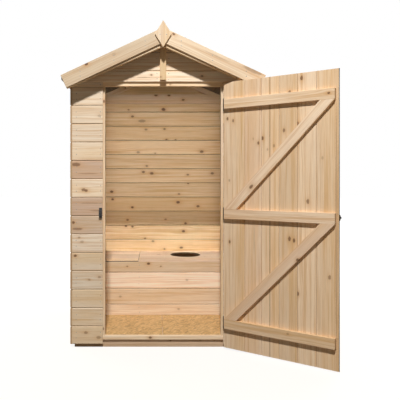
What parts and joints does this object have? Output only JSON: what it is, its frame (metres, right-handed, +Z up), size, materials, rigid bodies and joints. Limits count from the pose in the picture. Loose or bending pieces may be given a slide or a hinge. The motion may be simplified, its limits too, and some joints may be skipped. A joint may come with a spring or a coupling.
{
  "type": "wooden outhouse",
  "caption": "Wooden garden outhouse with a gable roof, bargeboards and finial, an open ledged and braced door, and a bench with an oval seat hole and a loose lid.",
  "frame": {"origin": "on the ground at the centre of the plan, under the middle bearer", "axes": "+Z up, -Y towards the front with the doorway, +X to the right as seen from the front"},
  "size_m": [1.5905, 1.7336, 2.0202],
  "materials": {
    "cladding_boards": "planed",
    "inner_boards": "planed",
    "planed_timber": "planed",
    "door_timber": "planed",
    "strand_board": "matt",
    "bearer_timber": "sawn",
    "roofing_felt": "mineral",
    "black_steel": "satin"
  },
  "bodies": {
    "building": {"back_cladding": "inner_boards", "back_head_rail": "planed_timber", "bargeboards_back": "planed_timber", "bargeboards_front": "planed_timber", "bearers": "bearer_timber", "bench_cross_rail": "planed_timber", "bench_front": "inner_boards", "bench_rails": "planed_timber", "bench_seat": "inner_boards", "bench_side_cleats": "planed_timber", "bench_uprights": "planed_timber", "bottom_rails": "planed_timber", "corner_posts": "planed_timber", "door_head_rail": "planed_timber", "door_post_left": "planed_timber", "door_post_right": "planed_timber", "door_sill": "planed_timber", "finials": "planed_timber", "floor_joists": "planed_timber", "floor_sheets": "strand_board", "front_cladding_left": "cladding_boards", "front_cladding_right": "cladding_boards", "front_gable_cladding": "cladding_boards", "gable_rafters": "planed_timber", "hinge_plates": "black_steel", "king_post": "planed_timber", "latch_keep": "black_steel", "rake_boards": "planed_timber", "roof_deck_left": "strand_board", "roof_deck_right": "strand_board", "roof_felt_left": "roofing_felt", "roof_felt_right": "roofing_felt", "roof_purlins_left": "planed_timber", "roof_purlins_right": "planed_timber", "side_cladding_left": "cladding_boards", "side_cladding_right": "cladding_boards", "side_rails_left": "planed_timber", "side_rails_right": "planed_timber"},
    "door": {"door_boards": "door_timber", "door_ledges": "door_timber", "door_brace_lower": "door_timber", "door_brace_upper": "door_timber", "hinge_straps": "black_steel", "latch_bolt": "black_steel"},
    "lid": {"bench_lid": "inner_boards"}
  },
  "joints": [
    {"name": "door_swing", "type": "hinge", "parent": "building", "child": "door", "pos_m": [0.38, -0.5655, 0], "axis": [0, 0, 1], "range_deg": [-140, 0]},
    {"name": "lid_lift", "type": "slide", "parent": "building", "child": "lid", "axis": [0, 0, 1], "range_m": [0, 0.3]}
  ]
}
